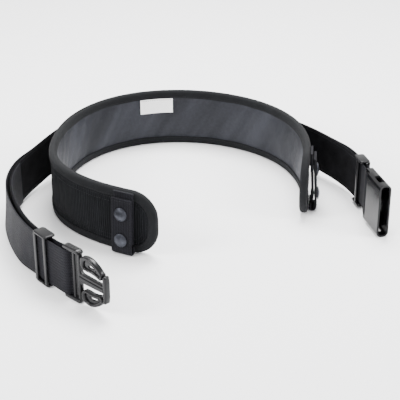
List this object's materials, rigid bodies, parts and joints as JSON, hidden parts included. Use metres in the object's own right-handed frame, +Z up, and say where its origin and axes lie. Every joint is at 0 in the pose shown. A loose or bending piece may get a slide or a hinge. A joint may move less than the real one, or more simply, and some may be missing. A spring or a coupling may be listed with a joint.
{
  "type": "tool belt",
  "caption": "Padded work belt: a bound, foam-filled sleeve round the waist, a web belt through its back, snap keepers, sliders and a side-release buckle.",
  "frame": {"origin": "centre of the belt's outline in plan, on the surface that its lower edges stand on", "axes": "+Z up, +Y towards the back of the belt, +X to the side with the female buckle; the belt opens towards -Y"},
  "size_m": [0.4233, 0.4448, 0.0725],
  "materials": {
    "outer_fabric": "ribbed woven nylon, matt black",
    "lining_fabric": "slate grey coated nylon with a faint sheen",
    "binding_tape": "black grosgrain tape",
    "foam": "closed-cell foam",
    "label_cloth": "white satin label, blank",
    "webbing": "black ribbed nylon webbing",
    "hook_and_loop_pile": "black brushed loop pile",
    "moulded_plastic": "glossy black moulded acetal",
    "snap_metal": "gunmetal black snap, satin polish"
  },
  "bodies": {
    "pad": {"pad_outer_cover": "outer_fabric", "pad_foam_core": "foam", "pad_inner_lining": "lining_fabric", "edge_binding": "binding_tape", "care_label": "label_cloth", "belt_tunnel": "outer_fabric", "belt_webbing_center": "webbing", "belt_lining_center": "hook_and_loop_pile", "left_keeper_top_tab": "webbing", "left_keeper_bottom_tab": "webbing", "right_keeper_top_tab": "webbing", "right_keeper_bottom_tab": "webbing"},
    "left_wing": {"left_webbing": "webbing", "left_lining": "hook_and_loop_pile", "left_adjuster_tail": "webbing", "left_bar_loop": "webbing"},
    "right_wing": {"right_webbing": "webbing", "right_lining": "hook_and_loop_pile", "right_return_strap": "webbing", "right_bar_loop": "webbing"},
    "male_buckle": {"male_buckle_frame": "moulded_plastic"},
    "female_buckle": {"female_buckle_body": "moulded_plastic"},
    "left_slider": {"left_slider": "moulded_plastic"},
    "right_slider": {"right_slider": "moulded_plastic"},
    "upper_release_arm": {"upper_release_arm": "moulded_plastic"},
    "lower_release_arm": {"lower_release_arm": "moulded_plastic"},
    "left_keeper_flap": {"left_keeper_flap": "webbing", "left_upper_snap_cap": "snap_metal", "left_lower_snap_cap": "snap_metal"},
    "left_keeper_strap": {"left_keeper_inner_strap": "webbing", "left_upper_snap_stud": "snap_metal", "left_lower_snap_stud": "snap_metal"},
    "right_keeper_flap": {"right_keeper_flap": "webbing", "right_upper_snap_cap": "snap_metal", "right_lower_snap_cap": "snap_metal"},
    "right_keeper_strap": {"right_keeper_inner_strap": "webbing", "right_upper_snap_stud": "snap_metal", "right_lower_snap_stud": "snap_metal"}
  },
  "joints": [
    {"name": "left_wing_swing", "type": "hinge", "parent": "pad", "child": "left_wing", "pos_m": [-0.13992, 0.15765, 0.03625], "axis": [0, 0, 1], "range_deg": [-25, 3]},
    {"name": "right_wing_swing", "type": "hinge", "parent": "pad", "child": "right_wing", "pos_m": [0.08944, 0.16986, 0.03625], "axis": [0, 0, 1], "range_deg": [-3, 25]},
    {"name": "male_buckle_turn", "type": "hinge", "parent": "left_wing", "child": "male_buckle", "pos_m": [-0.12484, -0.18098, 0.0295], "axis": [0, 0, 1], "range_deg": [-50, 50]},
    {"name": "female_buckle_turn", "type": "hinge", "parent": "right_wing", "child": "female_buckle", "pos_m": [0.19472, -0.01018, 0.03125], "axis": [0, 0, 1], "range_deg": [-50, 50]},
    {"name": "left_slider_slide", "type": "slide", "parent": "left_wing", "child": "left_slider", "axis": [0.6347, -0.7728, 0], "range_m": [-0.008, 0.008]},
    {"name": "right_slider_slide", "type": "slide", "parent": "right_wing", "child": "right_slider", "axis": [0.2154, -0.9765, 0], "range_m": [-0.008, 0.008]},
    {"name": "upper_arm_squeeze", "type": "hinge", "parent": "male_buckle", "child": "upper_release_arm", "pos_m": [-0.10901, -0.19626, 0.0475], "axis": [0.6947, 0.7193, 0], "range_deg": [0, 7], "stiffness_Nm_per_rad": 0.5},
    {"name": "lower_arm_squeeze", "type": "hinge", "parent": "male_buckle", "child": "lower_release_arm", "pos_m": [-0.10901, -0.19626, 0.0115], "axis": [0.6947, 0.7193, 0], "range_deg": [-7, 0], "stiffness_Nm_per_rad": 0.5},
    {"name": "left_flap_open", "type": "hinge", "parent": "pad", "child": "left_keeper_flap", "pos_m": [-0.07836, -0.09397, 0.00115], "axis": [0.8923, -0.4515, 0], "range_deg": [0, 65]},
    {"name": "left_inner_strap_swing", "type": "hinge", "parent": "pad", "child": "left_keeper_strap", "pos_m": [-0.07608, -0.08947, 0.0655], "axis": [-0.8923, 0.4515, 0], "range_deg": [0, 13]},
    {"name": "right_flap_open", "type": "hinge", "parent": "pad", "child": "right_keeper_flap", "pos_m": [0.13699, 0.0208, 0.00115], "axis": [0.1138, 0.9935, 0], "range_deg": [0, 40]},
    {"name": "right_inner_strap_swing", "type": "hinge", "parent": "pad", "child": "right_keeper_strap", "pos_m": [0.13198, 0.02138, 0.0655], "axis": [-0.1138, -0.9935, 0], "range_deg": [0, 8]}
  ],
  "couplings": [
    {"joint": "left_inner_strap_swing", "follows": "left_flap_open", "ratio": 0.2},
    {"joint": "right_inner_strap_swing", "follows": "right_flap_open", "ratio": 0.2}
  ]
}
